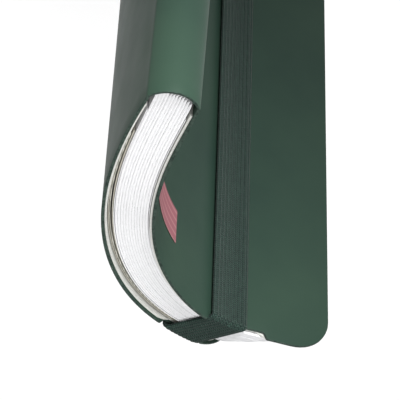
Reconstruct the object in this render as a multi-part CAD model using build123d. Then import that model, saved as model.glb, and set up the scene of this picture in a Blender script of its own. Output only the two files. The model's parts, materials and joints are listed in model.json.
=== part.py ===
from build123d import *

import math
import os

# A soft-cover pocket notebook, flexed into a C and slightly twisted, standing on its
# head edge. The object is described on its own section: s runs from the spine to the
# fore-edge along the middle of the book, n runs from the back cover to the front cover,
# and z runs from the head (z = 0) to the tail (z = HEIGHT). Millimetres and degrees.

# ---- Driving dimensions --------------------------------------------------------------

# Format.
HEIGHT = 140.0
COVER_WIDTH = 86.0
PAGE_SETBACK = 1.5
SQUARE = 1.0
CORNER_RADIUS = 8.0
SPINE_OVERHANG = 1.8

# The flex: the tangent of the section turns from SPINE_LEAN by BEND_TURN over BEND_LENGTH,
# and each millimetre of thickness slides a leaf's fore-edge by LEAF_SHIFT.
SPINE_LEAN = -112.0
BEND_TURN = 89.0
BEND_LENGTH = 78.0
BEND_GROWTH = 1.66
LEAF_SHIFT = 2.13
TWIST = 4.8
TWIST_CENTRE = (6.0, -83.0)
SPINE_PLACE = (-5.3, 24.5)

# Covers: an outer skin, a stiffener and an endpaper.
SKIN = 0.32
BOARD = 0.40
PASTEDOWN = 0.12
SKIN_RIM = 1.6
LAYER_GAP = 0.10

# Page block: folded and sewn sections, thicker at the sewn back than at the fore-edge.
SIGNATURES = 12
BLOCK_AT_SPINE = 7.5
BLOCK_AT_EDGE = 5.1
PINCH = 1.4
PINCH_PLACE = 70.0
PINCH_REACH = 12.0
FLYLEAF = 0.14
FOLD_START = 1.2
FOLD_TAPER = 3.0
FOLD_TIP = 0.24

# Pocket inside the back cover.
POCKET_START = 9.0
POCKET_WIDTH = 72.0
POCKET_SPACE = 1.20
POCKET_SPACE_AT_SPINE = 0.30
POCKET_OPENING = 7.0
POCKET_BACK = 0.16
POCKET_PANEL = 0.22
GUSSET = 0.20
GUSSET_WIDTH = 5.0

# Spine.
SPINE_RISE = 2.9
SPINE_STRIP = 0.30
SPINE_LINING = 0.28
HINGE_GAP = 0.15
LEAF_PIVOT = -0.2
THREAD = 0.36
STITCHES = 5

# Elastic closure.
BAND_WIDTH = 8.4
BAND = 0.80
BAND_FRONT = 72.3
BAND_BACK = 67.0
BAND_CLEARANCE = 0.5
NOTCH_SPARE_FRONT = 4.2
NOTCH_SPARE_BACK = 1.0
BAND_RAISE = 0.12
BAND_RETURN = 12.0
TAB_LENGTH = 7.0
TAB = 0.26

# Plain panel on the front cover.
LABEL_START = 36.0
LABEL_WIDTH = 16.8
LABEL_FROM_TAIL = 9.9
LABEL_LENGTH = 7.8
LABEL = 0.10

# ---- The bent and twisted section ----------------------------------------------------

STEPS_PER_MM = 4


def turned(s):
    """How far the section has turned at s, as a share of BEND_TURN."""
    return min(max(s, 0.0) / BEND_LENGTH, 1.0) ** BEND_GROWTH


def lean(s):
    """Tangent angle of the middle line at s, in radians."""
    return math.radians(SPINE_LEAN + BEND_TURN * turned(s))


def walk_middle_line(reach):
    """Places along the middle line, STEPS_PER_MM to a millimetre."""
    x, y = SPINE_PLACE
    places = [(x, y)]
    for step in range(int(reach * STEPS_PER_MM)):
        angle = lean((step + 0.5) / STEPS_PER_MM)
        x += math.cos(angle) / STEPS_PER_MM
        y += math.sin(angle) / STEPS_PER_MM
        places.append((x, y))
    return places


MIDDLE_LINE = walk_middle_line(2 * COVER_WIDTH)


def middle(s):
    """Place of the middle line at s, straight on behind the spine."""
    if s < 0:
        x, y = MIDDLE_LINE[0]
        return x + s * math.cos(lean(0)), y + s * math.sin(lean(0))
    step = int(s * STEPS_PER_MM)
    share = s * STEPS_PER_MM - step
    (x0, y0), (x1, y1) = MIDDLE_LINE[step], MIDDLE_LINE[step + 1]
    return x0 + (x1 - x0) * share, y0 + (y1 - y0) * share


def section_place(s, n):
    """Place of (s, n) on the tail's section, in the plane."""
    x, y = middle(s)
    return x - n * math.sin(lean(s)), y + n * math.cos(lean(s))


def point(s, n, z):
    """Place of (s, n, z): the tail's section blends into the head's, which is twisted."""
    x, y = section_place(s, n)
    dx, dy = x - TWIST_CENTRE[0], y - TWIST_CENTRE[1]
    angle = math.radians(-TWIST)
    head_x = TWIST_CENTRE[0] + dx * math.cos(angle) - dy * math.sin(angle)
    head_y = TWIST_CENTRE[1] + dx * math.sin(angle) + dy * math.cos(angle)
    share = z / HEIGHT
    return Vector(
        head_x + (x - head_x) * share,
        head_y + (y - head_y) * share,
        z,
    )


def fore_edge(width, n):
    """Where a leaf of this width ends at n: the flex slides the leaves past each other."""
    return width + n * LEAF_SHIFT


# ---- Layers, from the back cover's outer face to the front cover's --------------------

COVER = SKIN + LAYER_GAP + BOARD + LAYER_GAP + PASTEDOWN
FRONT_EASE = 0.12
PAGE_WIDTH = COVER_WIDTH - PAGE_SETBACK
JOINT = -SPINE_OVERHANG


def block(s):
    """Thickness of the page block, flyleaves included, pinched where the elastic holds it."""
    pinch = PINCH * math.exp(-(((s - PINCH_PLACE) / PINCH_REACH) ** 2))
    return BLOCK_AT_SPINE - (BLOCK_AT_SPINE - BLOCK_AT_EDGE) * s / COVER_WIDTH - pinch


def pocket_space(s):
    """Room between the back cover and the block, opening up towards the pocket."""
    closing = math.exp((JOINT - s) / POCKET_OPENING)
    return POCKET_SPACE - (POCKET_SPACE - POCKET_SPACE_AT_SPINE) * closing


def half(s):
    """Half the book's thickness at s."""
    return (2 * COVER + pocket_space(s) + block(s) + FRONT_EASE) / 2


def back_face(depth):
    """The surface this deep inside the back cover's outer face."""
    return lambda s: -half(s) + depth


def front_face(depth):
    """The surface this deep inside the front cover's outer face."""
    return lambda s: half(s) - depth


def block_face(s, share, offset=0.0):
    """The surface at a share of the block's thickness, 0 at its back."""
    back = -half(s) + COVER + pocket_space(s)
    return back + block(s) * share + offset


def signature_pitch(s):
    """Room that one signature takes, between the two flyleaves."""
    return (block(s) - 2 * (FLYLEAF + LAYER_GAP)) / SIGNATURES


def signature_middle(s, number):
    """Middle surface of a signature, numbered from the back cover."""
    first = block_face(s, 0.0, FLYLEAF + LAYER_GAP)
    return first + signature_pitch(s) * (number - 0.5)


# ---- The band's width on the flexed faces ----------------------------------------------


def curvature(s):
    """Radians that the middle line turns in a millimetre at s."""
    share = min(s / BEND_LENGTH, 1.0)
    return math.radians(BEND_TURN) * BEND_GROWTH / BEND_LENGTH * share ** (BEND_GROWTH - 1)


def band_reach(where, n):
    """Half the band's width at n, as it measures along the middle line."""
    return BAND_WIDTH / 2 / (1 - n * curvature(where))


BAND_OUT = BAND_RAISE + BAND / 2
FRONT_REACH = band_reach(BAND_FRONT, half(BAND_FRONT) + BAND_OUT)
BACK_REACH = band_reach(BAND_BACK, -half(BAND_BACK) - BAND_OUT)

# ---- Shaping helpers -----------------------------------------------------------------

STATION = 5.0
CURVES = 5
ARC_SPAN = 30.0
CORNER_SPILL = 0.4
CORNER_DEPTH = 1.5


def straight(*places):
    """A straight edge between two places, for any height."""
    return lambda z: Line(*[point(s, n, z) for s, n in places])


def arched(*places):
    """An arc through three places, for any height."""
    return lambda z: ThreePointArc(*[point(s, n, z) for s, n in places])


def round_run(centre, radius, start, stop):
    """Arcs about a place from one angle to another, in degrees from the s direction."""
    parts = math.ceil(abs(stop - start) / ARC_SPAN)
    angles = [start + (stop - start) * i / (2 * parts) for i in range(2 * parts + 1)]
    places = []
    for angle in map(math.radians, angles):
        places.append((centre[0] + radius * math.cos(angle), centre[1] + radius * math.sin(angle)))
    return [arched(*places[i : i + 3]) for i in range(0, 2 * parts, 2)]


def curved(surface, start, end):
    """A curve along a surface, for any height, through stations that all layers share."""
    low, high = sorted((start, end))
    first = math.ceil(low / STATION + 0.4)
    last = math.floor(high / STATION - 0.4)
    stops = [low, *[STATION * i for i in range(first, last + 1)], high]
    if start > end:
        stops.reverse()
    nudge = (end - start) / 1000

    def make(z):
        def at(s):
            return point(s, surface(s), z)

        tangents = (at(start + nudge) - at(start), at(end) - at(end - nudge))
        return Spline(*[at(s) for s in stops], tangents=tangents)

    return make


def along(surface, start, end):
    """Edges along a surface: curves up to where the flex ends, straight beyond it."""
    low, high = sorted((start, end))
    breaks = [BEND_LENGTH * i / CURVES for i in range(1, CURVES + 1)]
    stops = [low, *[s for s in breaks if low + STATION / 2 < s < high], high]
    edges = []
    for first, second in zip(stops, stops[1:]):
        if start > end:
            first, second = second, first
        if min(first, second) >= BEND_LENGTH:
            edges.append(straight((first, surface(first)), (second, surface(second))))
        else:
            edges.append(curved(surface, first, second))
    return edges if start < end else edges[::-1]


def ruled(outline, low, high):
    """The ruled solid between an outline's sections at two heights."""
    ends = [Wire([make_edge(z) for make_edge in outline]) for z in (low, high)]
    return Solid.make_loft(ends, ruled=True)


def layer(inner, outer, start, width, low, high, end=None):
    """A sheet between two surfaces, from start to its fore-edge or to a given end."""
    inner_end = outer_end = end
    if end is None:
        inner_end = fore_edge(width, inner(width))
        outer_end = fore_edge(width, outer(width))
    outline = [
        *along(inner, start, inner_end),
        straight((inner_end, inner(inner_end)), (outer_end, outer(outer_end))),
        *along(outer, outer_end, start),
        straight((start, outer(start)), (start, inner(start))),
    ]
    return ruled(outline, low, high)


def corner_tool(end, n, z, inwards, radius):
    """What is cut away to round a corner; inwards is +1 at the head, -1 at the tail."""
    corner = point(end, n, z)
    back = point(end - radius, n, z) - corner
    up = point(end, n, z + inwards * radius) - corner
    middle_of_arc = corner + (back + up) * (1 - math.sqrt(0.5))
    outline = [ThreePointArc(corner + back, middle_of_arc, corner + up)]
    stops = [
        corner + up,
        corner + up - back * CORNER_SPILL,
        corner - (back + up) * CORNER_SPILL,
        corner + back - up * CORNER_SPILL,
        corner + back,
    ]
    for first, second in zip(stops, stops[1:]):
        outline.append(Line(first, second))
    return extrude(Face(Wire(outline)), amount=CORNER_DEPTH, both=True)


def rounded(solid, surface, width, low, high, radius):
    """Rounds a sheet's two fore-edge corners."""
    n = surface(width)
    end = fore_edge(width, n)
    for z, inwards in ((low, 1), (high, -1)):
        solid = solid - corner_tool(end, n, z, inwards, radius)
    return solid


def sheet(inner, outer, start, width, low, high, radius=CORNER_RADIUS):
    """A sheet with rounded fore-edge corners."""
    solid = layer(inner, outer, start, width, low, high)
    return rounded(solid, inner, width, low, high, radius)


def band_cut(surface_in, surface_out, low, high):
    """A slab across the elastic's ends in the back cover, to cut slots and windows."""
    reach = BACK_REACH + BAND_CLEARANCE
    return layer(
        surface_in, surface_out, BAND_BACK - reach, None, low, high, BAND_BACK + reach
    )


def band_crossing(low, high, ease=0.0, front_spare=0.0, back_spare=0.0):
    """The elastic's stretch over an end of the book, or the room it needs there.

    The spares widen the room towards the fore-edge in front and the spine at the back.
    """
    depth = -BAND_RAISE - BAND - ease
    edges = (
        (front_face, BAND_FRONT - FRONT_REACH - ease),
        (front_face, BAND_FRONT + FRONT_REACH + ease + front_spare),
        (back_face, BAND_BACK + BACK_REACH + ease),
        (back_face, BAND_BACK - BACK_REACH - ease - back_spare),
    )
    corners = [(s, face(depth)(s)) for face, s in edges]
    outline = [straight(corners[i - 1], corners[i]) for i in range(4)]
    return ruled(outline, low, high)


# ---- Covers ---------------------------------------------------------------------------

COVER_START = JOINT + HINGE_GAP
THROUGH = 0.5


def cover(face):
    """Skin, board and endpaper of one cover, whose outer face is at depth 0."""
    skin = sheet(face(0), face(COVER - PASTEDOWN - LAYER_GAP), COVER_START, COVER_WIDTH, 0, HEIGHT)
    room = sheet(
        face(SKIN),
        face(COVER + THROUGH),
        COVER_START + SKIN_RIM,
        COVER_WIDTH - SKIN_RIM,
        SKIN_RIM,
        HEIGHT - SKIN_RIM,
        CORNER_RADIUS - SKIN_RIM,
    )
    inset = SKIN_RIM + LAYER_GAP
    board = sheet(
        face(SKIN + LAYER_GAP),
        face(SKIN + LAYER_GAP + BOARD),
        COVER_START + inset,
        COVER_WIDTH - inset,
        inset,
        HEIGHT - inset,
        CORNER_RADIUS - inset,
    )
    paper = sheet(
        face(COVER - PASTEDOWN),
        face(COVER),
        COVER_START + HINGE_GAP,
        COVER_WIDTH - SQUARE - 0.4,
        SQUARE + 0.2,
        HEIGHT - SQUARE - 0.2,
        CORNER_RADIUS - SQUARE,
    )
    skin = skin - room
    for low, high in ((-SQUARE, SQUARE), (HEIGHT - SQUARE, HEIGHT + SQUARE)):
        skin = skin - band_crossing(low, high, BAND_CLEARANCE, NOTCH_SPARE_FRONT, NOTCH_SPARE_BACK)
    return skin, board, paper


def front_cover():
    """The front cover's pieces, and the plain panel on its outer face."""
    skin, board, paper = cover(front_face)
    top = HEIGHT - LABEL_FROM_TAIL
    panel = layer(
        front_face(-LAYER_GAP - LABEL),
        front_face(-LAYER_GAP),
        LABEL_START,
        None,
        top - LABEL_LENGTH,
        top,
        LABEL_START + LABEL_WIDTH,
    )
    return {
        "front_cover_skin": skin,
        "front_cover_board": board,
        "front_pastedown": paper,
        "cover_label_panel": panel,
    }


def back_cover():
    """The back cover's pieces, slotted where the elastic goes in."""
    skin, board, paper = cover(back_face)
    for low, high in band_slots():
        skin = skin - band_cut(back_face(-THROUGH), back_face(COVER), low, high)
    for low, high in tab_windows():
        board = board - band_cut(back_face(0), back_face(COVER), low, high)
    return {
        "back_cover_skin": skin,
        "back_cover_board": board,
        "back_pastedown": paper,
    }


# ---- Pocket ---------------------------------------------------------------------------

POCKET_INSET = SQUARE + 0.6


def pocket():
    """The paper pocket on the back cover: two panels and a folded gusset at each end."""
    low, high = POCKET_INSET, HEIGHT - POCKET_INSET
    width = POCKET_START + POCKET_WIDTH
    back = back_face(COVER + LAYER_GAP)
    back_top = back_face(COVER + LAYER_GAP + POCKET_BACK)

    def panel_bottom(s):
        return block_face(s, 0.0, -LAYER_GAP - POCKET_PANEL)

    def panel_top(s):
        return block_face(s, 0.0, -LAYER_GAP)

    def gusset_bottom(s):
        return back_top(s) + LAYER_GAP

    def gusset_top(s):
        return gusset_bottom(s) + GUSSET

    nodes = {}
    nodes["pocket_back_panel"] = sheet(
        back, back_top, POCKET_START, width, low, high, CORNER_RADIUS - POCKET_INSET
    )
    nodes["pocket_front_panel"] = sheet(
        panel_bottom, panel_top, POCKET_START, width, low, high, CORNER_RADIUS - POCKET_INSET
    )
    places = {
        "pocket_head_gusset": (low + LAYER_GAP, low + GUSSET_WIDTH),
        "pocket_tail_gusset": (high - GUSSET_WIDTH, high - LAYER_GAP),
    }
    for name, (start, stop) in places.items():
        nodes[name] = layer(
            gusset_bottom, gusset_top, POCKET_START + 1, None, start, stop, width - CORNER_RADIUS - 4
        )
    return nodes


# ---- Page block -----------------------------------------------------------------------

BLOCK_LOW, BLOCK_HIGH = SQUARE, HEIGHT - SQUARE


def signature(number):
    """One sewn section, drawn in to a thin root where it turns at its fold."""
    start = LEAF_PIVOT + FOLD_START
    full = start + FOLD_TAPER

    def surface(side):
        def face(s):
            thickness = signature_pitch(s) - LAYER_GAP
            return signature_middle(s, number) + side * thickness / 2

        return face

    lower, upper = surface(-1), surface(1)
    low_end = fore_edge(PAGE_WIDTH, lower(PAGE_WIDTH))
    high_end = fore_edge(PAGE_WIDTH, upper(PAGE_WIDTH))
    root = signature_middle(start, number)
    low_tip, high_tip = (start, root - FOLD_TIP / 2), (start, root + FOLD_TIP / 2)
    outline = [
        straight(low_tip, (full, lower(full))),
        *along(lower, full, low_end),
        straight((low_end, lower(low_end)), (high_end, upper(high_end))),
        *along(upper, high_end, full),
        straight((full, upper(full)), high_tip),
        straight(high_tip, low_tip),
    ]
    solid = ruled(outline, BLOCK_LOW, BLOCK_HIGH)
    return rounded(solid, lower, PAGE_WIDTH, BLOCK_LOW, BLOCK_HIGH, CORNER_RADIUS - SQUARE)


def flyleaf(at_front):
    """The free endpaper beside the first or the last signature."""
    share = 1.0 if at_front else 0.0
    side = -1 if at_front else 1

    def outer(s):
        return block_face(s, share)

    def inner(s):
        return block_face(s, share, side * FLYLEAF)

    start = LEAF_PIVOT + FOLD_START + FOLD_TAPER / 2
    low, high = sorted((inner, outer), key=lambda surface: surface(start))
    return sheet(low, high, start, PAGE_WIDTH, BLOCK_LOW, BLOCK_HIGH, CORNER_RADIUS - SQUARE)


def page_block():
    """The signatures, numbered from the back cover, and the two flyleaves."""
    nodes = {f"signature_{n:02d}": signature(n) for n in range(1, SIGNATURES + 1)}
    nodes["back_flyleaf"] = flyleaf(False)
    nodes["front_flyleaf"] = flyleaf(True)
    return nodes


# ---- Spine ----------------------------------------------------------------------------

SPINE_HALF = half(0)
SPINE_RADIUS = (SPINE_HALF**2 + SPINE_RISE**2) / (2 * SPINE_RISE)
SPINE_CENTRE = JOINT - SPINE_RISE + SPINE_RADIUS
STRIP_RADIUS = SPINE_RADIUS - SKIN - LAYER_GAP
LINING_RADIUS = STRIP_RADIUS - SPINE_STRIP - LAYER_GAP
FOLD_RADIUS = LINING_RADIUS - SPINE_LINING - LAYER_GAP


def spine_strip(radius, thickness, edge_s, low, high):
    """A strip bent to the rounded back, ending at edge_s on both sides."""
    centre = (SPINE_CENTRE, 0)
    opening = math.degrees(math.acos((SPINE_CENTRE - edge_s) / radius))
    inside = math.degrees(math.acos((SPINE_CENTRE - edge_s) / (radius - thickness)))
    outer, inner = reach_at(radius, edge_s), reach_at(radius - thickness, edge_s)
    outline = [
        *round_run(centre, radius, 180 + opening, 180 - opening),
        straight((edge_s, outer), (edge_s, inner)),
        *round_run(centre, radius - thickness, 180 - inside, 180 + inside),
        straight((edge_s, -inner), (edge_s, -outer)),
    ]
    return ruled(outline, low, high)


def reach_at(radius, s):
    """How far to each side an arc of the rounded back reaches before it comes to s."""
    return math.sqrt(radius**2 - (SPINE_CENTRE - s) ** 2)


def sewn_back(number):
    """The rounded, glued back of one signature's fold."""
    middle_n = signature_middle(0, number)
    reach = (signature_pitch(0) - LAYER_GAP) / 2
    front = LEAF_PIVOT - HINGE_GAP
    low_n, high_n = middle_n - reach, middle_n + reach
    nose = SPINE_CENTRE - math.sqrt((FOLD_RADIUS - reach) ** 2 - middle_n**2)
    outline = [
        straight((front, low_n), (front, high_n)),
        straight((front, high_n), (nose, high_n)),
        *round_run((nose, middle_n), reach, 90, 270),
        straight((nose, low_n), (front, low_n)),
    ]
    return ruled(outline, BLOCK_LOW, BLOCK_HIGH)


def stitch(number):
    """One sewing stitch, across all the folds in front of their glued backs."""
    spacing = (BLOCK_HIGH - BLOCK_LOW) / (STITCHES + 1)
    z = BLOCK_LOW + spacing * number
    s = LEAF_PIVOT + THREAD / 2 + HINGE_GAP / 2
    reach = signature_middle(0, SIGNATURES) - signature_middle(0, 1)
    start, stop = point(s, -reach / 2, z), point(s, reach / 2, z)
    across = stop - start
    return Solid.make_cylinder(THREAD / 2, across.length, Plane(start, z_dir=across))


def spine():
    """Everything that turns with the spine."""
    edge_s = JOINT - HINGE_GAP
    return {
        "spine_skin": spine_strip(SPINE_RADIUS, SKIN, edge_s, 0, HEIGHT),
        "spine_strip": spine_strip(STRIP_RADIUS, SPINE_STRIP, edge_s, SQUARE, HEIGHT - SQUARE),
        "spine_lining": spine_strip(LINING_RADIUS, SPINE_LINING, edge_s, BLOCK_LOW, BLOCK_HIGH),
        "sewn_backs": Compound([sewn_back(n) for n in range(1, SIGNATURES + 1)]),
        "sewing_threads": Compound([stitch(n) for n in range(1, STITCHES + 1)]),
    }


# ---- Elastic closure ------------------------------------------------------------------

END_GAP = (SQUARE - BAND) / 2
SLOT = BAND + 2 * LAYER_GAP


def band_slots():
    """Height ranges of the two slots in the back cover's skin."""
    head = (BAND_RETURN - SLOT, BAND_RETURN)
    tail = (HEIGHT - BAND_RETURN, HEIGHT - BAND_RETURN + SLOT)
    return head, tail


def tab_windows():
    """Height ranges of the windows in the board that hold the elastic's glued ends."""
    head = (BAND_RETURN - SLOT - LAYER_GAP, BAND_RETURN + TAB_LENGTH + BAND_CLEARANCE)
    return head, (HEIGHT - head[1], HEIGHT - head[0])


def band_part(face, where, reach, shallow, deep, low, high):
    """A straight length of band, between two depths inside a cover's face."""
    surfaces = (face(shallow), face(deep))
    return layer(*surfaces, where - reach, None, low, high, where + reach)


def elastic():
    """The elastic: its front run, the two crossings and the ends fixed in the back cover."""
    head_low, head_high = END_GAP, END_GAP + BAND
    tail_low, tail_high = HEIGHT - head_high, HEIGHT - head_low
    outside, inside = -BAND_RAISE - BAND, -BAND_RAISE
    nodes = {}
    nodes["elastic_front_run"] = band_part(
        front_face,
        BAND_FRONT,
        FRONT_REACH,
        outside,
        inside,
        head_high + LAYER_GAP,
        tail_low - LAYER_GAP,
    )
    nodes["elastic_head_crossing"] = band_crossing(head_low, head_high)
    nodes["elastic_tail_crossing"] = band_crossing(tail_low, tail_high)
    tab_depth = SKIN + LAYER_GAP
    returns = {
        "elastic_head_end": (head_high + LAYER_GAP, BAND_RETURN - LAYER_GAP, 1),
        "elastic_tail_end": (tail_low - LAYER_GAP, HEIGHT - BAND_RETURN + LAYER_GAP, -1),
    }
    for name, (edge_z, slot_z, way) in returns.items():
        outer = sorted((edge_z, slot_z))
        through = sorted((slot_z - way * BAND, slot_z))
        tab = sorted((slot_z - way * BAND, slot_z + way * TAB_LENGTH))
        solid = band_part(back_face, BAND_BACK, BACK_REACH, outside, inside, *outer)
        solid = solid + band_part(back_face, BAND_BACK, BACK_REACH, outside, tab_depth + TAB, *through)
        solid = solid + band_part(back_face, BAND_BACK, BACK_REACH, tab_depth, tab_depth + TAB, *tab)
        nodes[name] = solid
    return nodes


# ---- Writing --------------------------------------------------------------------------


def build():
    """Every node by name, with the origin below the middle of the overall box."""
    nodes = {}
    for group in (front_cover, back_cover, pocket, page_block, spine, elastic):
        nodes.update(group())
    middle_of_box = Compound(list(nodes.values())).bounding_box().center()
    origin = Location((-middle_of_box.X, -middle_of_box.Y, 0))
    return {name: shape.moved(origin) for name, shape in nodes.items()}


def main():
    os.makedirs("parts", exist_ok=True)
    for name, shape in build().items():
        export_step(shape, os.path.join("parts", f"{name}.step"))


if __name__ == "__main__":
    main()
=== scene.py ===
import json
import math
import random

import bmesh
import bpy
import numpy as np
from mathutils import Matrix, Vector


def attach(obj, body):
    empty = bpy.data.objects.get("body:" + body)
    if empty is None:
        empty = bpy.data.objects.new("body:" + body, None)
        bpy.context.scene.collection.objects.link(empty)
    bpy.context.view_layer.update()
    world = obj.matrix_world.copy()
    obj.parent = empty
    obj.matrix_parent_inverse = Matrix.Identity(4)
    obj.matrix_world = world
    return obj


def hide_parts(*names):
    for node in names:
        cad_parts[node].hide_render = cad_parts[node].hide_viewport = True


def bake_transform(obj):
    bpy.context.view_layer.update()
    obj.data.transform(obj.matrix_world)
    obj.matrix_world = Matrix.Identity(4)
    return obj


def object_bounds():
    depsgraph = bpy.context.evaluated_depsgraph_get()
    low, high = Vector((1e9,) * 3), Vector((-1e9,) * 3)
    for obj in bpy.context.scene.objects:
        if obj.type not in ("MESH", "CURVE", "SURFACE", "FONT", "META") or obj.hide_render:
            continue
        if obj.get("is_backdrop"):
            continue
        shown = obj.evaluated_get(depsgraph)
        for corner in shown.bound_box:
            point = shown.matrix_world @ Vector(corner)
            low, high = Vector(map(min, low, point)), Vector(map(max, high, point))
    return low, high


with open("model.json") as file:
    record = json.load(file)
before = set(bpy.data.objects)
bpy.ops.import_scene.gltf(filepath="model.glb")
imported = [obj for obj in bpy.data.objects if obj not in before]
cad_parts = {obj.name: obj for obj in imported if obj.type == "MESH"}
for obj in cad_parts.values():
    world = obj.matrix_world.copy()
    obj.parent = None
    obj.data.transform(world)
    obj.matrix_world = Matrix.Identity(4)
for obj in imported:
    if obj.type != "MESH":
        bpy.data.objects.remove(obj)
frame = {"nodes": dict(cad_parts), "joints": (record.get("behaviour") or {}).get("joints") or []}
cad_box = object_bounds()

# The notebook's own section: s runs from the spine to the fore-edge, n from the back cover
# to the front cover and z from the head, on which it stands, to the tail. Millimetres.

# ---- Sizes of the CAD model -----------------------------------------------------------

# Outline: the covers overhang the pages by SQUARE, and JOINT is where cover meets spine.
HEIGHT, COVER_WIDTH, PAGE_WIDTH = 140.0, 86.0, 84.5
SQUARE, CORNER_RADIUS = 1.0, 8.0
JOINT, SPINE_RISE, LEAF_PIVOT = -1.8, 2.9, -0.2
# Bend along s in degrees, leaves shifted by it, and twist from the tail to the head.
SPINE_LEAN, BEND_TURN, BEND_LENGTH, BEND_GROWTH = -112.0, 89.0, 78.0, 1.66
LEAF_SHIFT = 2.13
TWIST, TWIST_CENTRE = 4.8, (6.0, -83.0)
SPINE_PLACE = (-5.3, 24.5)
# Thicknesses, from the back cover to the front cover.
COVER = 1.04
POCKET_SPACE, POCKET_SPACE_AT_SPINE, POCKET_OPENING = 1.2, 0.3, 7.0
FLYLEAF, LAYER_GAP, SIGNATURES = 0.14, 0.10, 12
BLOCK_AT_SPINE, BLOCK_AT_EDGE = 7.5, 5.1
PINCH, PINCH_PLACE, PINCH_REACH = 1.4, 70.0, 12.0
FRONT_EASE = 0.12
# The elastic, where it lies on both covers, and the room that its notches leave.
BAND_WIDTH, BAND, BAND_RAISE = 8.4, 0.8, 0.12
BAND_FRONT, BAND_BACK, BAND_RETURN = 72.3, 67.0, 12.0
BAND_CLEARANCE, NOTCH_SPARE_FRONT, NOTCH_SPARE_BACK = 0.5, 4.2, 1.0
END_GAP = (SQUARE - BAND) / 2
MM = 0.001

# ---- Light ------------------------------------------------------------------------------

SURROUND = 0.30
# Lamps: power in watts, diameter in metres, and where the small ones stand from the tail.
CEILING_POWER, CEILING_SIZE, CEILING_HEIGHT = 36.0, 2.4, 1.8
KEY_POWER, KEY_SIZE, KEY_SPREAD, KEY_STAND = 0.13, 0.12, 60, (0.09, 0.21, 0.02)
KEY_AIM_ABOVE = 0.015
RIM_POWER, RIM_SIZE, RIM_STAND = 0.02, 0.20, (-0.30, -0.02, 0.10)
FLOOR_SIZE, FLOOR_DROP = 6, -0.0002

# ---- View -------------------------------------------------------------------------------

# Degrees from straight down, metres from the tail, and focal length in pixels of 400.
VIEW_ANGLE, VIEW_DISTANCE, VIEW_FOCAL = 50, 0.5, 2750
SENSOR, PIXELS = 36, 400

# ---- The bent and twisted section -----------------------------------------------------


def lean(s):
    """Tangent angle of the middle line, in radians."""
    share = np.clip(np.asarray(s, float), 0, BEND_LENGTH) / BEND_LENGTH
    return np.radians(SPINE_LEAN + BEND_TURN * share**BEND_GROWTH)


WALK = np.arange(0, 150, 0.1)
WALK_X = np.concatenate([[0], np.cumsum(np.cos(lean(WALK + 0.05))) * 0.1])[:-1]
WALK_Y = np.concatenate([[0], np.cumsum(np.sin(lean(WALK + 0.05))) * 0.1])[:-1]


def section_place(s, n):
    """Place of (s, n) on the tail's section, from the spine's place."""
    s, n = np.broadcast_arrays(np.asarray(s, float), np.asarray(n, float))
    behind = np.minimum(s, 0)
    x = np.interp(s, WALK, WALK_X) + behind * math.cos(lean(0)) - n * np.sin(lean(s))
    y = np.interp(s, WALK, WALK_Y) + behind * math.sin(lean(0)) + n * np.cos(lean(s))
    return x, y


def block(s):
    """Thickness of the page block, pinched where the elastic holds it."""
    s = np.asarray(s, float)
    pinch = PINCH * np.exp(-(((s - PINCH_PLACE) / PINCH_REACH) ** 2))
    return BLOCK_AT_SPINE - (BLOCK_AT_SPINE - BLOCK_AT_EDGE) * s / COVER_WIDTH - pinch


def half(s):
    """Half the book's thickness at s."""
    return (2 * COVER + pocket_space(s) + block(s) + FRONT_EASE) / 2


def pocket_space(s):
    """Room between the back cover and the page block."""
    closing = np.exp((JOINT - np.asarray(s, float)) / POCKET_OPENING)
    return POCKET_SPACE - (POCKET_SPACE - POCKET_SPACE_AT_SPINE) * closing


def block_face(s, share):
    """Surface at a share of the block's thickness, 0 at its back."""
    return -half(s) + COVER + pocket_space(s) + block(s) * share


def pitch(s):
    """Room that one signature takes."""
    return (block(s) - 2 * (FLYLEAF + LAYER_GAP)) / SIGNATURES


def curvature(s):
    """Radians that the middle line turns in a millimetre at s."""
    share = min(s / BEND_LENGTH, 1.0)
    return math.radians(BEND_TURN) * BEND_GROWTH / BEND_LENGTH * share ** (BEND_GROWTH - 1)


def band_reach(where, n):
    """Half the band's width at n, as it measures along the middle line."""
    return BAND_WIDTH / 2 / (1 - n * curvature(where))


def fore_edge(width, n):
    """Where a leaf of this width ends at n."""
    return width + n * LEAF_SHIFT


MID_DEPTH = BAND_RAISE + BAND / 2
FRONT_REACH = band_reach(BAND_FRONT, float(half(BAND_FRONT)) + MID_DEPTH)
BACK_REACH = band_reach(BAND_BACK, -float(half(BAND_BACK)) - MID_DEPTH)

# The frame fixes where the section lies: the spine hinge starts at the head.
HINGE = next(j for j in frame["joints"] if j["name"] == "spine_hinge")
CENTRE = np.array(TWIST_CENTRE) - np.array(SPINE_PLACE)


def unplaced(s, n, z):
    """Places, in metres, of a section turned about TWIST_CENTRE from the tail to the head."""
    x, y = section_place(s, n)
    z = np.asarray(z, float)
    dx, dy = x - CENTRE[0], y - CENTRE[1]
    angle = math.radians(-TWIST)
    head_x = CENTRE[0] + dx * math.cos(angle) - dy * math.sin(angle)
    head_y = CENTRE[1] + dx * math.sin(angle) + dy * math.cos(angle)
    share = z / HEIGHT
    x, y, z = np.broadcast_arrays(head_x + (x - head_x) * share, head_y + (y - head_y) * share, z)
    return np.stack([x, y, z], -1) * MM


SHIFT = np.array(HINGE["pos_m"]) - unplaced(JOINT, -half(JOINT), 0.0)


def place(s, n, z):
    """Row-frame places, in metres, of section places."""
    return unplaced(s, n, z) + SHIFT


def out_of(s, z):
    """Unit vectors towards the front cover."""
    step = place(s, 1.0, z) - place(s, 0.0, z)
    return step / np.linalg.norm(step, axis=-1, keepdims=True)


def point(s, n, z):
    """One place as a vector."""
    return Vector(place(s, n, z).tolist())


# ---- Meshes ---------------------------------------------------------------------------


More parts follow.
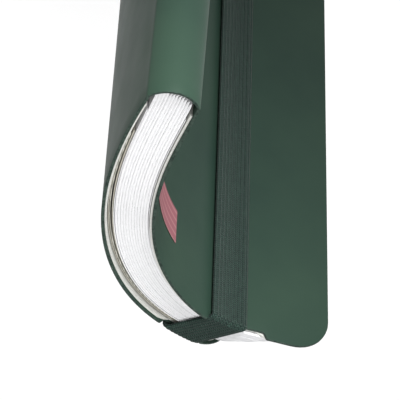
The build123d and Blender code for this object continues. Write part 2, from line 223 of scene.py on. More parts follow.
def grid_faces(rows, columns, first=0, flip=False):
    """Quads of a grid whose vertices run along the columns."""
    faces = []
    for i in range(rows - 1):
        for k in range(columns - 1):
            a = first + i * columns + k
            quad = (a, a + 1, a + columns + 1, a + columns)
            faces.append(quad[::-1] if flip else quad)
    return faces


def new_object(name, vertices, faces, material, uvs=None):
    """A smooth mesh object with one material, in the scene."""
    mesh = bpy.data.meshes.new(name)
    mesh.from_pydata(np.asarray(vertices).tolist(), [], faces)
    if uvs is not None:
        layer = mesh.uv_layers.new(name="UVMap")
        index = np.zeros(len(mesh.loops), int)
        mesh.loops.foreach_get("vertex_index", index)
        layer.data.foreach_set("uv", np.asarray(uvs, float)[index].ravel())
    mesh.validate()
    mesh.polygons.foreach_set("use_smooth", [True] * len(mesh.polygons))
    made = bpy.data.objects.new(name, mesh)
    bpy.context.scene.collection.objects.link(made)
    mesh.materials.append(material)
    return made


def wrap_slab(under, over):
    """Vertices and faces of a closed slab between two equal grids of places."""
    rows, columns = under.shape[:2]
    count = rows * columns
    vertices = np.concatenate([under.reshape(-1, 3), over.reshape(-1, 3)])
    faces = grid_faces(rows, columns, 0, True) + grid_faces(rows, columns, count)
    rim = list(range(columns))
    rim += [i * columns + columns - 1 for i in range(1, rows)]
    rim += [(rows - 1) * columns + k for k in range(columns - 2, -1, -1)]
    rim += [i * columns for i in range(rows - 2, 0, -1)]
    for a, b in zip(rim, rim[1:] + rim[:1]):
        faces.append((a, b, b + count, a + count))
    return vertices, faces


CORNER_STEPS = 13


def corner_stations(start, end, radius, count):
    """Stations along a sheet, close together where its corner turns."""
    straight = np.linspace(start, end - radius, count)
    turn = end - radius + radius * np.sin(np.radians(np.linspace(0, 90, CORNER_STEPS)))[1:]
    return np.concatenate([straight, turn])


def corner_inset(s, end, radius):
    """How far a rounded corner draws the sheet in at s."""
    past = np.clip(s - (end - radius), 0, radius)
    return radius - np.sqrt(np.maximum(radius**2 - past**2, 0))


def shade_by_angle(piece, degrees):
    """Keeps edges sharper than an angle crisp."""
    piece.data.set_sharp_from_angle(angle=math.radians(degrees))


def fix_normals(piece):
    """Turns every face outwards."""
    made = bmesh.new()
    made.from_mesh(piece.data)
    bmesh.ops.recalc_face_normals(made, faces=made.faces)
    made.to_mesh(piece.data)
    made.free()


def bevelled(piece, width, segments, chosen):
    """Rounds the chosen edges of a piece and applies it."""
    weights = piece.data.attributes.new("bevel_weight_edge", "FLOAT", "EDGE")
    weights.data.foreach_set("value", [float(chosen(edge)) for edge in piece.data.edges])
    modifier = piece.modifiers.new("bevel", "BEVEL")
    modifier.width = width * MM
    modifier.segments = segments
    modifier.limit_method = "WEIGHT"
    modifier.use_clamp_overlap = True
    graph = bpy.context.evaluated_depsgraph_get()
    mesh = bpy.data.meshes.new_from_object(piece.evaluated_get(graph))
    piece.modifiers.clear()
    piece.data = mesh


# ---- Materials ------------------------------------------------------------------------

COVER_GREEN, COVER_DULL, COVER_WORN = (0.015, 0.037, 0.025), (0.02, 0.03, 0.03), (0.12, 0.17, 0.12)
EDGE_GREEN, EDGE_FRAYED = (0.010, 0.024, 0.019), (0.2, 0.28, 0.22)
# Near-black colours inside the spine, which paint the shade of its hollow.
SPINE_SHADE_LOW, SPINE_SHADE_HIGH = (0.008, 0.02, 0.018), (0.02, 0.04, 0.03)
# The elastic's colours: painted shade for the weave's grooves, the yarn's own green, and a painted
# highlight for its crests.
WEAVE_GROOVE_SHADE, WEAVE_MIDDLE, WEAVE_CREST_HIGHLIGHT = (0.003, 0.009, 0.008), (0.011, 0.028, 0.021), (0.038, 0.078, 0.060)
LABEL_PINK, LABEL_LINE = (0.21, 0.062, 0.078), (0.30, 0.14, 0.145)
# Ribs across each millimetre of the elastic, the length of a stitch in it, and its slant.
ELASTIC_RIBS, ELASTIC_STITCH, ELASTIC_SLANT = 2.2, 0.46, 0.9
LABEL_LINES = 180.0
BLACK = (0, 0, 0)


class Paint:
    """A small helper that builds one node material."""

    def __init__(self, name, colour, roughness):
        self.material = bpy.data.materials.new(name)
        self.material.use_nodes = True
        self.nodes = self.material.node_tree.nodes
        self.links = self.material.node_tree.links
        self.shader = self.nodes["Principled BSDF"]
        self.shader.inputs["Base Color"].default_value = (*colour, 1)
        self.shader.inputs["Roughness"].default_value = roughness
        self.coords = self.nodes.new("ShaderNodeTexCoord")

    def node(self, kind, **values):
        """A node, with its settings and its sockets' values by name."""
        made = self.nodes.new(kind)
        for key, value in values.items():
            if hasattr(made, key):
                setattr(made, key, value)
            else:
                made.inputs[key.replace("_", " ")].default_value = value
        return made

    def link(self, source, target):
        """Joins two sockets."""
        self.links.new(source, target)

    def set(self, socket, value):
        """A constant of the whole surface, on the shader's own socket."""
        self.shader.inputs[socket].default_value = value

    def math(self, kind, *values):
        """A maths node; each value is a number or a socket."""
        made = self.node("ShaderNodeMath", operation=kind)
        for socket, value in zip(made.inputs, values):
            if isinstance(value, (int, float)):
                socket.default_value = value
            else:
                self.link(value, socket)
        return made.outputs[0]

    def mapped(self, scale):
        """The object's own coordinates, stretched."""
        mapping = self.node("ShaderNodeMapping")
        mapping.inputs["Scale"].default_value = scale
        self.link(self.coords.outputs["Object"], mapping.inputs["Vector"])
        return mapping.outputs["Vector"]

    def noise(self, scale, detail=3.0, roughness=0.5, stretch=(1, 1, 1)):
        """A noise field, 0 to 1."""
        made = self.node("ShaderNodeTexNoise", Scale=scale, Detail=detail, Roughness=roughness)
        self.link(self.mapped(stretch), made.inputs["Vector"])
        return made.outputs["Fac"]

    def tint(self, source, stops):
        """Colours the surface by a ramp of (position, colour) stops."""
        made = self.nodes.new("ShaderNodeValToRGB")
        elements = made.color_ramp.elements
        while len(elements) < len(stops):
            elements.new(0.5)
        for element, (position, colour) in zip(elements, stops):
            element.position = position
            element.color = (*colour, 1)
        self.link(source, made.inputs["Fac"])
        self.link(made.outputs["Color"], self.shader.inputs["Base Color"])

    def bump(self, height, strength, distance, under=None):
        """Relief of a height field, on top of another relief."""
        made = self.node("ShaderNodeBump", Strength=strength, Distance=distance)
        self.link(height, made.inputs["Height"])
        if under is not None:
            self.link(under, made.inputs["Normal"])
        self.link(made.outputs["Normal"], self.shader.inputs["Normal"])
        return made.outputs["Normal"]

    def vary_roughness(self, source, low, high):
        """Roughness between two values."""
        made = self.node("ShaderNodeMapRange")
        made.inputs["To Min"].default_value = low
        made.inputs["To Max"].default_value = high
        self.link(source, made.inputs["Value"])
        self.link(made.outputs["Result"], self.shader.inputs["Roughness"])


def mixed(low, high, share):
    """A colour between two others."""
    return tuple(a + (b - a) * share for a, b in zip(low, high))


def cover_paint():
    """Soft synthetic leather: deep green, fine grain, faint cloudy wear."""
    paint = Paint("cover_green", COVER_GREEN, 0.5)
    cloud = paint.noise(scale=26, detail=4, roughness=0.55)
    dull, worn = mixed(COVER_GREEN, COVER_DULL, 0.3), mixed(COVER_GREEN, COVER_WORN, 0.10)
    paint.tint(cloud, [(0.3, dull), (0.72, worn)])
    paint.vary_roughness(paint.noise(scale=120, detail=3), 0.40, 0.54)
    grain = paint.node("ShaderNodeTexVoronoi", Scale=2200.0)
    paint.link(paint.mapped((1, 1, 1)), grain.inputs["Vector"])
    first = paint.bump(grain.outputs["Distance"], strength=0.12, distance=0.00005)
    pores = paint.noise(scale=800, detail=4, roughness=0.6)
    paint.bump(pores, strength=0.12, distance=0.00007, under=first)
    paint.set("Specular IOR Level", 0.08)
    return paint.material


def edge_paint():
    """The cover's cut edge: a darker, slightly fibrous core."""
    paint = Paint("cover_edge", EDGE_GREEN, 0.7)
    fibre = paint.noise(scale=1400, detail=4, roughness=0.6, stretch=(1, 1, 0.3))
    low, high = mixed(EDGE_GREEN, BLACK, 0.35), mixed(EDGE_GREEN, EDGE_FRAYED, 0.2)
    paint.tint(fibre, [(0.3, low), (0.7, high)])
    paint.bump(fibre, strength=0.3, distance=0.00005)
    paint.set("Specular IOR Level", 0.2)
    return paint.material


def spine_shade_paint():
    """Near-black paper inside the spine: painted shade for the spine's hollow, with a faint fibre tone.
    """
    paint = Paint("spine_inner_painted_shade", mixed(SPINE_SHADE_LOW, SPINE_SHADE_HIGH, 0.5), 0.8)
    fibre = paint.noise(scale=900, detail=3)
    paint.tint(fibre, [(0.3, SPINE_SHADE_LOW), (0.7, SPINE_SHADE_HIGH)])
    paint.bump(fibre, strength=0.2, distance=0.00004)
    return paint.material


def paper_paint(name, low, high):
    """Uncoated paper with a faint fibre tone."""
    paint = Paint(name, mixed(low, high, 0.5), 0.82)
    fibre = paint.noise(scale=1500, detail=5, roughness=0.65)
    paint.tint(fibre, [(0.3, low), (0.7, high)])
    paint.bump(fibre, strength=0.12, distance=0.00003)
    paint.set("Specular IOR Level", 0.2)
    return paint.material


def gauze_paint(name, low, high, scale):
    """Thin woven cloth: two crossed sets of threads."""
    paint = Paint(name, mixed(low, high, 0.5), 0.9)
    threads = []
    for direction in ("X", "Z"):
        wave = paint.node("ShaderNodeTexWave", bands_direction=direction, Scale=scale, Distortion=1.5)
        wave.inputs["Detail Scale"].default_value = 2.0
        paint.link(paint.mapped((1, 1, 1)), wave.inputs["Vector"])
        threads.append(wave.outputs["Fac"])
    crossed = paint.math("MAXIMUM", *threads)
    paint.tint(crossed, [(0.2, low), (0.9, high)])
    paint.bump(crossed, strength=0.4, distance=0.00006)
    return paint.material


def elastic_paint():
    """Ribbed woven elastic: heathered dark green, slanted stitches in narrow ribs, with painted shade in
    the grooves and a painted highlight on the crests.
    """
    paint = Paint("elastic_weave", WEAVE_MIDDLE, 0.85)
    split = paint.node("ShaderNodeSeparateXYZ")
    paint.link(paint.coords.outputs["UV"], split.inputs[0])
    across, length = split.outputs["X"], split.outputs["Y"]
    rib = paint.math("MULTIPLY", across, ELASTIC_RIBS)
    slant = paint.math("MULTIPLY", paint.math("PINGPONG", rib, 1.0), ELASTIC_SLANT)
    along = paint.math("ADD", paint.math("MULTIPLY", length, 1 / ELASTIC_STITCH), slant)
    stitch = paint.math("MULTIPLY", paint.math("PINGPONG", along, 0.5), 2.0)
    rib_round = paint.math("SINE", paint.math("MULTIPLY", paint.math("FRACT", rib), math.pi))
    height = paint.math("MULTIPLY", stitch, paint.math("POWER", rib_round, 0.6))
    speckle = paint.math("MULTIPLY", paint.noise(scale=1500, detail=3), 0.55)
    # The colour follows the relief: painted shade in the grooves, a painted highlight on the crests, and
    # the heathered yarn's speckle.
    tone = paint.math("ADD", paint.math("MULTIPLY", height, 0.62), speckle)
    paint.tint(tone, [(0.25, WEAVE_GROOVE_SHADE), (0.55, WEAVE_MIDDLE), (0.95, WEAVE_CREST_HIGHLIGHT)])
    paint.bump(height, strength=0.9, distance=0.00018)
    paint.set("Sheen Weight", 0.08)
    paint.set("Sheen Roughness", 0.5)
    paint.set("Specular IOR Level", 0.15)
    return paint.material


def label_paint():
    """Matt printed panel with plain ruled lines."""
    paint = Paint("label_print", LABEL_PINK, 0.6)
    lines = paint.node("ShaderNodeTexWave", bands_direction="Z", Scale=LABEL_LINES, Distortion=0.0)
    paint.link(paint.mapped((1, 1, 1)), lines.inputs["Vector"])
    paint.tint(lines.outputs["Fac"], [(0.86, LABEL_PINK), (0.95, LABEL_LINE)])
    paint.bump(paint.noise(scale=1200, detail=3), strength=0.15, distance=0.00003)
    return paint.material


COVER_PAINT = cover_paint()
EDGE_PAINT = edge_paint()
# Painted shade for the inside of the spine.
SPINE_SHADE_PAINT = spine_shade_paint()
PAGE_PAINT = paper_paint("page_paper", (0.73, 0.73, 0.74), (0.80, 0.80, 0.81))
END_PAINT = paper_paint("end_paper", (0.52, 0.52, 0.49), (0.62, 0.62, 0.59))
POCKET_PAINT = paper_paint("pocket_paper", (0.40, 0.38, 0.32), (0.56, 0.54, 0.47))
GUSSET_PAINT = gauze_paint("gusset_cloth", (0.30, 0.30, 0.26), (0.55, 0.54, 0.48), 500.0)
LINING_PAINT = gauze_paint("lining_gauze", (0.05, 0.08, 0.07), (0.12, 0.16, 0.14), 420.0)
THREAD_PAINT = gauze_paint("thread", (0.6, 0.6, 0.58), (0.85, 0.85, 0.83), 900.0)
ELASTIC_PAINT = elastic_paint()
LABEL_PAINT = label_paint()

# ---- Covers ---------------------------------------------------------------------------

# The cut edge's thickness on the covers and on the spine, and the creased joint's groove.
SKIN_DEPTH = 0.62
SPINE_DEPTH = 0.50
EDGE_ROUND = 0.16
JOINT_SOFT = 0.9
CREASE_DEPTH, CREASE_REACH, CREASE_PLACE = 0.12, 0.9, JOINT + 1.6
# The endpaper's inner face, and how far it stays inside the cover's ends.
ENDPAPER_DEPTH = 1.03
ENDPAPER_START = JOINT + 2.4
END_INSET = 0.45
# The notches that the elastic sits in.
NOTCH_DEPTH, NOTCH_SLOPE = 1.45, 0.9
# Rows and stations of the grids.
COVER_ROWS = 41
COVER_STATIONS = 50
SPINE_STEPS = 40
NOTCH_STATIONS = np.arange(58, 84, 0.3)

SPINE_HALF = float(half(0))
SPINE_RADIUS = (SPINE_HALF**2 + SPINE_RISE**2) / (2 * SPINE_RISE)
SPINE_CENTRE = JOINT - SPINE_RISE + SPINE_RADIUS


def spine_path(depth, side):
    """(s, n) along half of the rounded spine, from its middle to just short of one joint."""
    radius = SPINE_RADIUS - depth
    opening = math.acos((SPINE_CENTRE - JOINT) / radius)
    angle = np.linspace(0, opening, SPINE_STEPS)[:-1]
    return SPINE_CENTRE - radius * np.cos(angle), side * radius * np.sin(angle)


def cover_section(side, depth, reach):
    """(s, n) from the middle of the spine, round the joint and along the cover."""
    spine_depth = depth / SKIN_DEPTH * SPINE_DEPTH
    arc_s, arc_n = spine_path(spine_depth, side)
    flat = corner_stations(JOINT + 0.8, reach, CORNER_RADIUS, COVER_STATIONS)
    flat = np.unique(np.concatenate([flat, NOTCH_STATIONS[NOTCH_STATIONS < reach]]))
    s = np.concatenate([arc_s, flat])
    n = np.concatenate([arc_n, side * (half(flat) - depth)])
    groove = CREASE_DEPTH * np.exp(-(((s - CREASE_PLACE) / CREASE_REACH) ** 2))
    return s, n - side * groove * (1 - depth / SKIN_DEPTH)


def notch_depth(s, side):
    """How far the elastic's notch draws the edge in; side is +1 at the front."""
    low = BAND_FRONT - FRONT_REACH - BAND_CLEARANCE
    high = BAND_FRONT + FRONT_REACH + BAND_CLEARANCE + NOTCH_SPARE_FRONT
    if side < 0:
        low = BAND_BACK - BACK_REACH - BAND_CLEARANCE - NOTCH_SPARE_BACK
        high = BAND_BACK + BACK_REACH + BAND_CLEARANCE
    inside = np.minimum(s - low, high - s)
    share = np.clip(inside / NOTCH_SLOPE, 0, 1)
    return NOTCH_DEPTH * share**2 * (3 - 2 * share)


def rows_between(s, n, inset):
    """Places of a section from the head to the tail, drawn in at both ends."""
    share = np.linspace(0, 1, COVER_ROWS)[:, None]
    return place(s[None, :], n[None, :], inset + (HEIGHT - 2 * inset) * share)


def cover_reach(side):
    """Where a cover's fore-edge lies."""
    return float(fore_edge(COVER_WIDTH, side * half(COVER_WIDTH)))


def slab_of(side, outer, inner):
    """A closed slab between a cover's outer and inner grids."""
    return wrap_slab(inner, outer) if side > 0 else wrap_slab(outer, inner)


def cover_piece(name, side, nodes):
    """A cover's skin from the middle of the spine to its fore-edge, with a cut rim."""
    reach = cover_reach(side)
    grids = []
    for depth in (0.0, SKIN_DEPTH):
        s, n = cover_section(side, depth, reach)
        inset = np.maximum(corner_inset(s, reach, CORNER_RADIUS), notch_depth(s, side))
        grids.append(rows_between(s, n, inset))
    outer, inner = grids
    vertices, faces = slab_of(side, outer, inner)
    piece = new_object(name, vertices, faces, COVER_PAINT)
    piece.data.materials.append(EDGE_PAINT)
    rim_first = 2 * (COVER_ROWS - 1) * (outer.shape[1] - 1)
    for polygon in piece.data.polygons:
        if polygon.index >= rim_first:
            polygon.material_index = 1
    columns = outer.shape[1]
    count = COVER_ROWS * columns

    def rim_edge(edge):
        a, b = edge.vertices
        if (a < count) != (b < count):
            return False
        places = [divmod(v % count, columns) for v in (a, b)]
        rows, stations = zip(*places)
        along_end = rows[0] == rows[1] and rows[0] in (0, COVER_ROWS - 1)
        along_fore_edge = stations[0] == stations[1] == columns - 1
        return along_end or along_fore_edge

    bevelled(piece, EDGE_ROUND, 2, rim_edge)
    shade_by_angle(piece, 50)
    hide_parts(*nodes)
    joint_n = side * float(half(JOINT))
    start = point(JOINT - JOINT_SOFT, joint_n, HEIGHT / 2)
    end = point(JOINT + JOINT_SOFT, joint_n, HEIGHT / 2)
    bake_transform(piece)


def endpaper_piece(name, side, body, node):
    """The paper glued inside a cover, drawn with the lining that carries it."""
    radius = CORNER_RADIUS - SQUARE
    reach = cover_reach(side) - SQUARE
    s = corner_stations(ENDPAPER_START, reach, radius, COVER_STATIONS)
    inset = END_INSET + corner_inset(s, reach, radius)
    inset = np.maximum(inset, notch_depth(s, side) + END_INSET / 2)
    depths = (SKIN_DEPTH + 0.02, ENDPAPER_DEPTH)
    outer, inner = (rows_between(s, side * (half(s) - depth), inset) for depth in depths)
    vertices, faces = slab_of(side, outer, inner)
    piece = new_object(name, vertices, faces, END_PAINT)
    shade_by_angle(piece, 40)
    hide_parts(node)
    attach(piece, body)


# ---- Page block -----------------------------------------------------------------------

SHEETS = 4
BLOCK_ROWS = 15
PAGE_STATIONS = 34
FOLD_RADIUS = SPINE_RADIUS - 0.80
# Room left between two signatures, the share of it that paper fills, and the folds' room.
SIGNATURE_GAP = 0.03
PAPER_SHARE = 0.92
NOSE_ROOM = 0.12
SHOULDER = 1.9
# How much each nested sheet steps in at the fore-edge and at the ends.
WIDTH_STEP, END_STEP = 0.06, 0.03
# The stretch over which a leaf bends where it turns, before and after its pivot.
LEAF_SOFT = (0.7, 1.3)
# From this share of the block on, the folds stand looser and leave dark gaps between them.
LOOSE_FROM = 0.4
LOOSE_FOLD, TIGHT_FOLD = 0.28, 0.6
GLUE_OPENING = 42.0
GLUE_INSET = 0.25


def signature_middle(number, s):
    """The middle surface of one signature."""
    return block_face(s, 0.0) + FLYLEAF + LAYER_GAP + pitch(s) * (number - 0.5)


def signature_half(s):
    """Half of one signature's thickness."""
    return (pitch(s) - SIGNATURE_GAP) / 2


def fold_path(number, offset, width, nose, jitter):
    """(s, n) along one side of a folded sheet: in from the fore-edge, round and out."""
    depth = float(signature_half(0)) * offset
    shoulder = nose + SHOULDER + jitter["taper"]
    near = np.linspace(nose + NOSE_ROOM + depth, shoulder, 7)[1:]
    tight = jitter["tight"]
    legs = []
    for side in (-1, 1):
        edge_n = signature_middle(number, width) + side * signature_half(width) * offset
        end = float(fore_edge(width, edge_n))
        flat = corner_stations(shoulder + 1.0, end, CORNER_RADIUS - SQUARE, PAGE_STATIONS)
        s = np.concatenate([near, flat])
        share = np.clip((s - nose) / (shoulder - nose), 0, 1)
        drawn = tight + (1 - tight) * np.sin(share * math.pi / 2)
        legs.append((s, signature_middle(number, s) + side * signature_half(s) * offset * drawn))
    turn = np.radians(np.linspace(-90, 90, 7))
    turn_s = nose + NOSE_ROOM + depth - depth * tight * np.cos(turn)
    turn_n = signature_middle(number, 0) + depth * tight * np.sin(turn)
    (low_s, low_n), (high_s, high_n) = legs
    return np.concatenate([low_s[::-1], turn_s, high_s]), np.concatenate([low_n[::-1], turn_n, high_n])


def sheet_rows(s, n, low, high):
    """Places of a folded sheet from head to tail, with its fore-edge corners rounded."""
    ends = np.where(np.arange(len(s)) < len(s) // 2, s[0], s[-1])
    inset = corner_inset(s, ends, CORNER_RADIUS - SQUARE)
    share = np.linspace(0, 1, BLOCK_ROWS)[:, None]
    return place(s[None, :], n[None, :], low + inset + (high - low - 2 * inset) * share)


def signature_mesh(number, jitter):
    """The folded sheets of one signature: U-shaped strips, nested about the fold."""
    fold_n = float(signature_middle(number, 0))
    nose = SPINE_CENTRE - math.sqrt(FOLD_RADIUS**2 - fold_n**2) + NOSE_ROOM + jitter["nose"]
    vertices, faces = [], []
    for sheet in range(SHEETS):
        width = PAGE_WIDTH - WIDTH_STEP * (SHEETS - sheet) + jitter["width"]
        low = SQUARE + jitter["low"] + END_STEP * sheet
        high = HEIGHT - SQUARE + jitter["high"] - END_STEP * sheet
        grids = []
        for side in (-1, 1):
            offset = (sheet + 0.5 + side * PAPER_SHARE / 2) / SHEETS
            s, n = fold_path(number, offset, width, nose, jitter)
            grids.append(sheet_rows(s, n, low, high))
        made, quads = wrap_slab(*grids)
        first = sum(len(part) for part in vertices)
        vertices.append(made)
        faces += [tuple(i + first for i in quad) for quad in quads]
    return np.concatenate(vertices), faces


def signature_piece(number):
    """One signature, slightly unlike its neighbours."""
    draw = random.Random(100 + number)
    loose = number / SIGNATURES > LOOSE_FROM
    jitter = {
        "nose": draw.uniform(0.0, 0.25) + (0.15 + 0.3 * draw.random() if loose else 0),
        "tight": LOOSE_FOLD if loose else TIGHT_FOLD,
        "taper": draw.uniform(-0.5, 0.4) - (0 if loose else 0.8),
        "width": draw.uniform(-0.12, 0.12),
        "low": draw.uniform(0.0, 0.10),
        "high": draw.uniform(-0.10, 0.0),
    }
    vertices, faces = signature_mesh(number, jitter)
    piece = new_object(f"leaves_{number:02d}_folded_sheets", vertices, faces, PAGE_PAINT)
    shade_by_angle(piece, 40)
    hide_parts(f"signature_{number:02d}")
    middle_n = float(signature_middle(number, 0))
    start = point(LEAF_PIVOT - LEAF_SOFT[0], middle_n, HEIGHT / 2)
    end = point(LEAF_PIVOT + LEAF_SOFT[1], middle_n, HEIGHT / 2)
    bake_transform(piece)


def glue_piece():
    """Glue between the sewn folds and the lining, slightly uneven."""
    angle = np.radians(np.linspace(-GLUE_OPENING, GLUE_OPENING, 49))
    ripple = 0.03 * np.sin(angle * 40)
    share = np.linspace(0, 1, 31)[:, None]
    z = SQUARE + GLUE_INSET + (HEIGHT - 2 * SQUARE - 2 * GLUE_INSET) * share
    grids = []
    for radius in (FOLD_RADIUS + 0.11, FOLD_RADIUS + 0.04 - ripple):
        s = SPINE_CENTRE - radius * np.cos(angle)
        grids.append(place(s[None, :], (radius * np.sin(angle))[None, :], z))
    outer, inner = grids
    vertices, faces = wrap_slab(inner, outer)
    piece = new_object("spine_glue", vertices, faces, LINING_PAINT)
    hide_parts("sewn_backs")
    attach(piece, "spine")


# ---- Elastic --------------------------------------------------------------------------

FRONT_WIDEN = FRONT_REACH / (BAND_WIDTH / 2)
BACK_WIDEN = BACK_REACH / (BAND_WIDTH / 2)
# Radius of the band's bends, and how far its spine side stands off the hollow cover.
CORNER = 0.75
BAND_LIFT = 0.35
# Small loops along both edges, and the thickness of the weave's ribs.
LOOP_PITCH, LOOP_SIZE, LOOP_ROOM = 0.62, 0.14, 0.16
RIB = 0.05
# How deep the return dips into its slot, over the last stretch before it.
SLOT_DIP, SLOT_EASE = 1.0, 1.2
# Rows and columns of the grids. The crossing's length only spaces its stitches.
COLUMNS = 31
ROW_STEP = 0.155
SPAN_STEPS = 59
SPAN_LENGTH = 9.5
BENDS = np.radians(np.linspace(0, 90, 9))


def band_offsets(lengths):
    """Places across the band, with small loops along both edges."""
    share = np.linspace(-1, 1, COLUMNS)
    loops = 0.5 + 0.5 * np.cos(2 * math.pi * lengths / LOOP_PITCH)
    edge = BAND_WIDTH / 2 - LOOP_ROOM + LOOP_SIZE * loops
    return share[None, :] * edge[:, None]


def band_piece(name, centre, out, lengths, across, node):
    """A band from the places of its middle surface, with rounded edges and ribs."""
    share = across / (BAND_WIDTH / 2)
    rounded = np.sqrt(np.clip(1 - np.abs(share) ** 8, 0.12, 1))
    thick = BAND / 2 * rounded + RIB * (np.cos(2 * math.pi * across) - 1)
    over = centre + out * (thick * MM)[..., None]
    under = centre - out * (thick * MM)[..., None]
    vertices, faces = wrap_slab(under, over)
    uv = np.stack([across, np.broadcast_to(lengths[:, None], across.shape)], -1).reshape(-1, 2)
    piece = new_object(name, vertices, faces, ELASTIC_PAINT, np.concatenate([uv, uv]))
    fix_normals(piece)
    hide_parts(node)
    return piece


def front_band_n(s):
    """The run bridges the hollow of the cover, so its spine side stands off."""
    off = np.clip((BAND_FRONT + FRONT_REACH - np.asarray(s, float)) / (2 * FRONT_REACH), 0, 1)
    return half(s) + MID_DEPTH + BAND_LIFT * off**1.5


def back_band_n(s):
    """The middle of the band on the back cover."""
    return -half(s) - MID_DEPTH


def elastic_run():
    """The run over the front cover."""
    start = END_GAP + BAND / 2 + CORNER
    z = np.arange(start, HEIGHT - start + 0.01, ROW_STEP)
    across = band_offsets(z)
    s = BAND_FRONT + across * FRONT_WIDEN
    zz = np.broadcast_to(z[:, None], s.shape)
    centre = place(s, front_band_n(s), zz)
    piece = band_piece("elastic_run", centre, out_of(s, zz), z, across, "elastic_front_run")
    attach(piece, "elastic_run")


def bend_row(foot, ahead, out, up, angle):
    """One row on a bend, from along the cover to over its end: places, outward vectors."""
    step = ahead * (1 - math.cos(angle)) + up * math.sin(angle)
    outward = out * math.cos(angle) + up * math.sin(angle)
    return foot + step * CORNER * MM, outward / np.linalg.norm(outward, axis=-1, keepdims=True)


def crossing_rows(across, up, base):
    """Rows of a crossing: round the front bend, straight over, and down the back bend."""
    bends = len(BENDS)
    span_share = np.linspace(0, 1, SPAN_STEPS + 2)[1:-1]
    for i, a in enumerate(across):
        front_s, back_s = BAND_FRONT + a * FRONT_WIDEN, BAND_BACK + a * BACK_WIDEN
        front = place(front_s, front_band_n(front_s), base)
        back = place(back_s, back_band_n(back_s), base)
        ahead = (back - front) / np.linalg.norm(back - front, axis=-1, keepdims=True)
        if i < bends:
            yield bend_row(front, ahead, out_of(front_s, base), up, BENDS[i])
        elif i < bends + SPAN_STEPS:
            straight = back - front - 2 * ahead * CORNER * MM
            middle = front + (ahead + up) * CORNER * MM + straight * span_share[i - bends]
            yield middle, np.broadcast_to(up, middle.shape)
        else:
            angle = BENDS[2 * bends + SPAN_STEPS - 1 - i]
            yield bend_row(back, -ahead, -out_of(back_s, base), up, angle)


def crossing(at_tail):
    """From the front run over the end of the book to the back cover's edge."""
    sign = 1 if at_tail else -1
    end = "tail" if at_tail else "head"
    level = HEIGHT - END_GAP - BAND / 2 if at_tail else END_GAP + BAND / 2
    span = CORNER * math.pi / 2 + np.linspace(0, 1, SPAN_STEPS + 2)[1:-1] * SPAN_LENGTH
    lengths = np.concatenate([CORNER * BENDS, span, span[-1] + CORNER * BENDS])
    across = band_offsets(lengths + (HEIGHT if at_tail else 0))
    rows = list(crossing_rows(across, np.array([0.0, 0.0, sign]), level - sign * CORNER))
    centre, out = (np.array(part) for part in zip(*rows))
    piece = band_piece(f"elastic_{end}_wrap", centre, out, lengths, across, f"elastic_{end}_crossing")
    begin = point(BAND_FRONT, float(front_band_n(BAND_FRONT)), level)
    finish = point(BAND_BACK, float(back_band_n(BAND_BACK)), level)
    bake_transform(piece)


def elastic_end(at_tail):
    """The short length on the back cover, down to its slot."""
    end = "tail" if at_tail else "head"
    z = np.arange(END_GAP + BAND / 2 + CORNER, BAND_RETURN + 0.3, ROW_STEP)
    across = band_offsets(z)
    s = BAND_BACK + across * BACK_WIDEN
    dip = SLOT_DIP * np.clip((z - BAND_RETURN + 0.9) / SLOT_EASE, 0, 1) ** 2
    zz = np.broadcast_to(z[:, None], s.shape)
    if at_tail:
        zz = HEIGHT - zz
    centre = place(s, back_band_n(s) + dip[:, None], zz)
    name, node = f"elastic_{end}_return", f"elastic_{end}_end"
    piece = band_piece(name, centre, -out_of(s, zz), z, across, node)
    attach(piece, "back_cover")


# ---- Carried-over CAD nodes -----------------------------------------------------------

KEPT = {
    "front_flyleaf": PAGE_PAINT,
    "back_flyleaf": PAGE_PAINT,
    "pocket_back_panel": POCKET_PAINT,
    "pocket_front_panel": POCKET_PAINT,
    "pocket_head_gusset": GUSSET_PAINT,
    "pocket_tail_gusset": GUSSET_PAINT,
    # The spine strip is painted near-black: painted shade for the spine's hollow.
    "spine_strip": SPINE_SHADE_PAINT,
    "spine_lining": LINING_PAINT,
    "sewing_threads": THREAD_PAINT,
    "cover_label_panel": LABEL_PAINT,
}


def paint_kept_nodes():
    """New materials for the nodes that the scene keeps from the CAD."""
    for name, material in KEPT.items():
        node = frame["nodes"][name]
        node.data.materials.clear()
        node.data.materials.append(material)


# ---- Stage ----------------------------------------------------------------------------


def stage():
    """Pale floor and an even, dimmer surround."""
    bpy.ops.mesh.primitive_plane_add(size=FLOOR_SIZE, location=(0, 0, FLOOR_DROP))
    floor = bpy.context.object
    floor.name = "floor"
    paint = Paint("floor_white", (0.97, 0.97, 0.97), 0.9)
    paint.bump(paint.noise(scale=4, detail=2), strength=0.02, distance=0.001)
    floor.data.materials.append(paint.material)
    floor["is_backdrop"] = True
    world = bpy.data.worlds.new("surround")
    bpy.context.scene.world = world
    world.use_nodes = True
    background = world.node_tree.nodes["Background"]
    background.inputs["Color"].default_value = (1.0, 1.0, 1.0, 1)
    background.inputs["Strength"].default_value = SURROUND
    bpy.context.scene.view_settings.view_transform = "Standard"


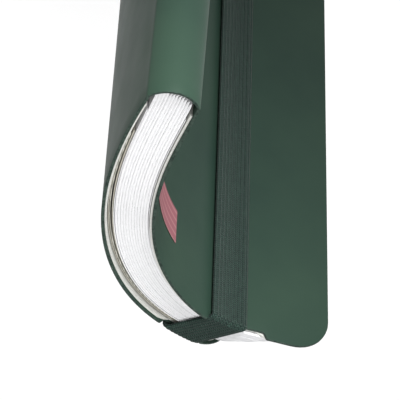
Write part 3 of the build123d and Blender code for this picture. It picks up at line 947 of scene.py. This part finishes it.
def light(name, location, target, size, power, spread=180):
    """A round area lamp; a spread below 180 degrees narrows it, as a grid does."""
    data = bpy.data.lights.new(name, "AREA")
    data.shape = "DISK"
    data.size = size
    data.energy = power
    data.spread = math.radians(spread)
    lamp = bpy.data.objects.new(name, data)
    bpy.context.scene.collection.objects.link(lamp)
    lamp.location = location
    lamp.rotation_euler = (target - location).to_track_quat("-Z", "Y").to_euler()


def lights():
    """A wide ceiling box, and a gridded one level with the tail: the head falls into shade."""
    tail = point(40, 0, HEIGHT)
    aim = tail + Vector((0, 0, KEY_AIM_ABOVE))
    light("ceiling", Vector((0, 0, CEILING_HEIGHT)), Vector(), CEILING_SIZE, CEILING_POWER)
    light("key", tail + Vector(KEY_STAND), aim, KEY_SIZE, KEY_POWER, KEY_SPREAD)
    light("rim", tail + Vector(RIM_STAND), tail, RIM_SIZE, RIM_POWER)


def camera():
    """The photograph's view: down onto the tail, the spine away from the viewer."""
    angle = math.radians(VIEW_ANGLE)
    target = Vector((SHIFT[0] - SPINE_PLACE[0] * MM, SHIFT[1] - SPINE_PLACE[1] * MM, HEIGHT * MM))
    forward = Vector((0, -math.sin(angle), -math.cos(angle)))
    up = Vector((0, math.cos(angle), -math.sin(angle)))
    right = Vector((1, 0, 0))
    data = bpy.data.cameras.new("camera")
    data.sensor_width = SENSOR
    data.lens = VIEW_FOCAL * SENSOR / PIXELS
    rig = bpy.data.objects.new("camera", data)
    bpy.context.scene.collection.objects.link(rig)
    turn = Matrix((right, up, -forward)).transposed()
    rig.matrix_world = Matrix.Translation(target - forward * VIEW_DISTANCE) @ turn.to_4x4()
    data.clip_start = 0.01
    bpy.context.scene.camera = rig


# ---- Build ----------------------------------------------------------------------------

camera()
stage()
lights()
cover_piece("cover_front_half", 1, ["front_cover_skin", "front_cover_board", "spine_skin"])
cover_piece("cover_back_half", -1, ["back_cover_skin", "back_cover_board"])
endpaper_piece("front_endpaper", 1, "front_cover", "front_pastedown")
endpaper_piece("back_endpaper", -1, "back_cover", "back_pastedown")
for number in range(1, SIGNATURES + 1):
    signature_piece(number)
glue_piece()
elastic_run()
for at_tail in (False, True):
    crossing(at_tail)
    elastic_end(at_tail)
paint_kept_nodes()

visual_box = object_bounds()
boxes = {"cad": cad_box, "visual": visual_box}
{name: [list(corner) for corner in box] for name, box in boxes.items()}
